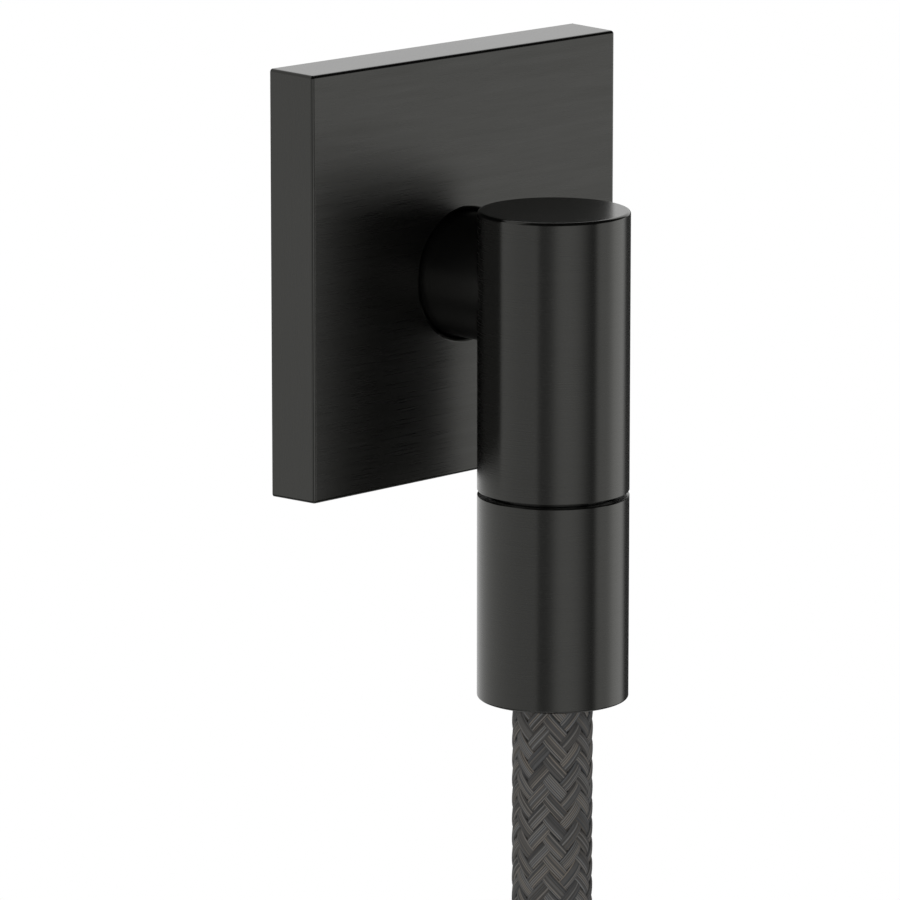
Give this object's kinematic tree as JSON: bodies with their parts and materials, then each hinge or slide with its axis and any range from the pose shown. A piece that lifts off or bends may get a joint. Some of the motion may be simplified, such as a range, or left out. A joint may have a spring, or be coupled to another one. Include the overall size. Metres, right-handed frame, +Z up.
{
  "type": "wall outlet elbow",
  "caption": "Square cover plate on a round neck and upright cylindrical elbow with a check valve, and a braided hand shower hose on a plain nut, coiled below.",
  "frame": {"origin": "where the inlet's axis meets the finished wall", "axes": "+Y into the wall along the inlet, +Z up, +X to the right as seen from the room"},
  "size_m": [0.1524, 0.0847, 0.3749],
  "materials": {
    "plate_metal": "brushed black, horizontal grain",
    "body_metal": "brushed black, grain round the axis",
    "nut_metal": "brushed black, grain round the axis",
    "raw_brass": "bare machined brass",
    "seal_rubber": "matte black rubber",
    "valve_plastic": "pale moulded acetal",
    "spring_steel": "plain stainless steel",
    "braid": "dark herringbone braid of fine fibres",
    "tie_strap": "matte black strap"
  },
  "bodies": {
    "root": {"escutcheon": "plate_metal", "escutcheon_o_ring": "seal_rubber", "elbow_body": "body_metal", "inlet_nipple": "raw_brass", "inlet_nipple_o_ring": "seal_rubber", "outlet_nipple": "body_metal", "outlet_nipple_o_ring": "seal_rubber", "check_valve_body": "valve_plastic", "check_valve_spring": "spring_steel", "check_valve_guide": "valve_plastic", "check_valve_o_ring": "seal_rubber", "wall_hose_nut": "nut_metal", "wall_hose_washer": "seal_rubber", "wall_hose_tail": "raw_brass", "wall_hose_ferrule": "spring_steel", "hose_lead": "braid", "hose_coil": "braid", "hose_end": "braid", "hose_tie": "tie_strap", "far_hose_ferrule": "spring_steel", "far_hose_tail": "raw_brass", "far_hose_washer": "seal_rubber"},
    "valve": {"check_valve_poppet": "valve_plastic", "check_valve_seal": "seal_rubber"},
    "far_nut": {"far_hose_nut": "nut_metal"}
  },
  "joints": [
    {"name": "valve_slide", "type": "slide", "parent": "root", "child": "valve", "axis": [0, 0, -1], "range_m": [0, 0.0025], "stiffness_N_per_m": 120, "springref_m": -0.003, "deforming": ["check_valve_spring"]},
    {"name": "far_nut_turn", "type": "hinge", "parent": "root", "child": "far_nut", "pos_m": [-0.06922, -0.05825, -0.321], "axis": [0, 0, 1], "continuous": true}
  ]
}
